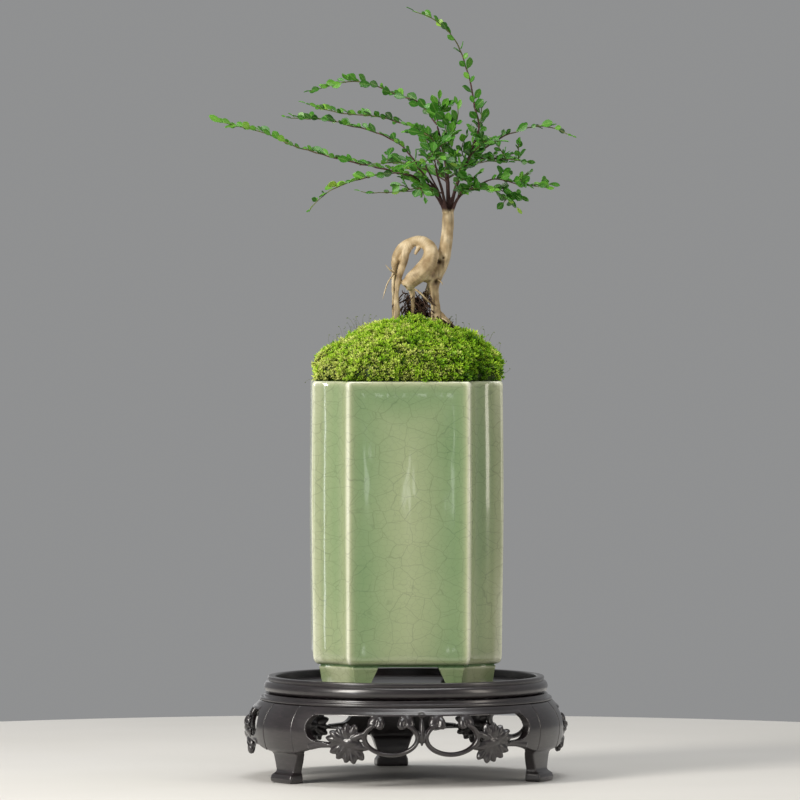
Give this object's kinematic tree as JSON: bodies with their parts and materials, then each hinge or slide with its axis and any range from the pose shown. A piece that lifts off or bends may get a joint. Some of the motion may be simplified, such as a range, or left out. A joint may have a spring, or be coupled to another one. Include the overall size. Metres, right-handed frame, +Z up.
{
  "type": "potted bonsai tree",
  "caption": "Miniature bonsai tree with a looped root on a moss mound, in a tall square pot with coved corners, on a round carved wooden stand.",
  "frame": {"origin": "middle of the bounding box's base, on the surface the stand's feet rest on", "axes": "+Z up, -Y towards the front of the pot and stand, +X to the right"},
  "size_m": [0.1638, 0.1428, 0.3455],
  "materials": {
    "rosewood": "satin",
    "celadon_glaze": "gloss",
    "bark": "matte",
    "leaf": "satin",
    "moss": "matte",
    "potting_soil": "matte",
    "pumice_gravel": "matte",
    "screen_plastic": "matte"
  },
  "bodies": {
    "root": {"apron_front": "rosewood", "apron_left": "rosewood", "apron_right": "rosewood", "drain_screen": "screen_plastic", "gravel": "pumice_gravel", "leg_left": "rosewood", "leg_rear": "rosewood", "leg_right": "rosewood", "moss": "moss", "pot": "celadon_glaze", "shoot_back": "leaf", "shoot_back_left": "leaf", "shoot_back_right": "leaf", "shoot_crown_left": "leaf", "shoot_crown_middle": "leaf", "shoot_front": "leaf", "shoot_front_high": "leaf", "shoot_front_left": "leaf", "shoot_front_right": "leaf", "shoot_front_right_high": "leaf", "shoot_leader": "leaf", "shoot_left_long": "leaf", "shoot_left_low": "leaf", "shoot_left_middle": "leaf", "shoot_left_thin": "leaf", "shoot_left_top": "leaf", "shoot_left_upper": "leaf", "shoot_right_droop": "leaf", "shoot_right_low": "leaf", "shoot_right_middle": "leaf", "shoot_right_upper": "leaf", "shoot_top_back": "leaf", "soil": "potting_soil", "stand_collar": "rosewood", "stand_panel": "rosewood", "stand_rim": "rosewood", "trunk": "bark"}
  },
  "joints": []
}
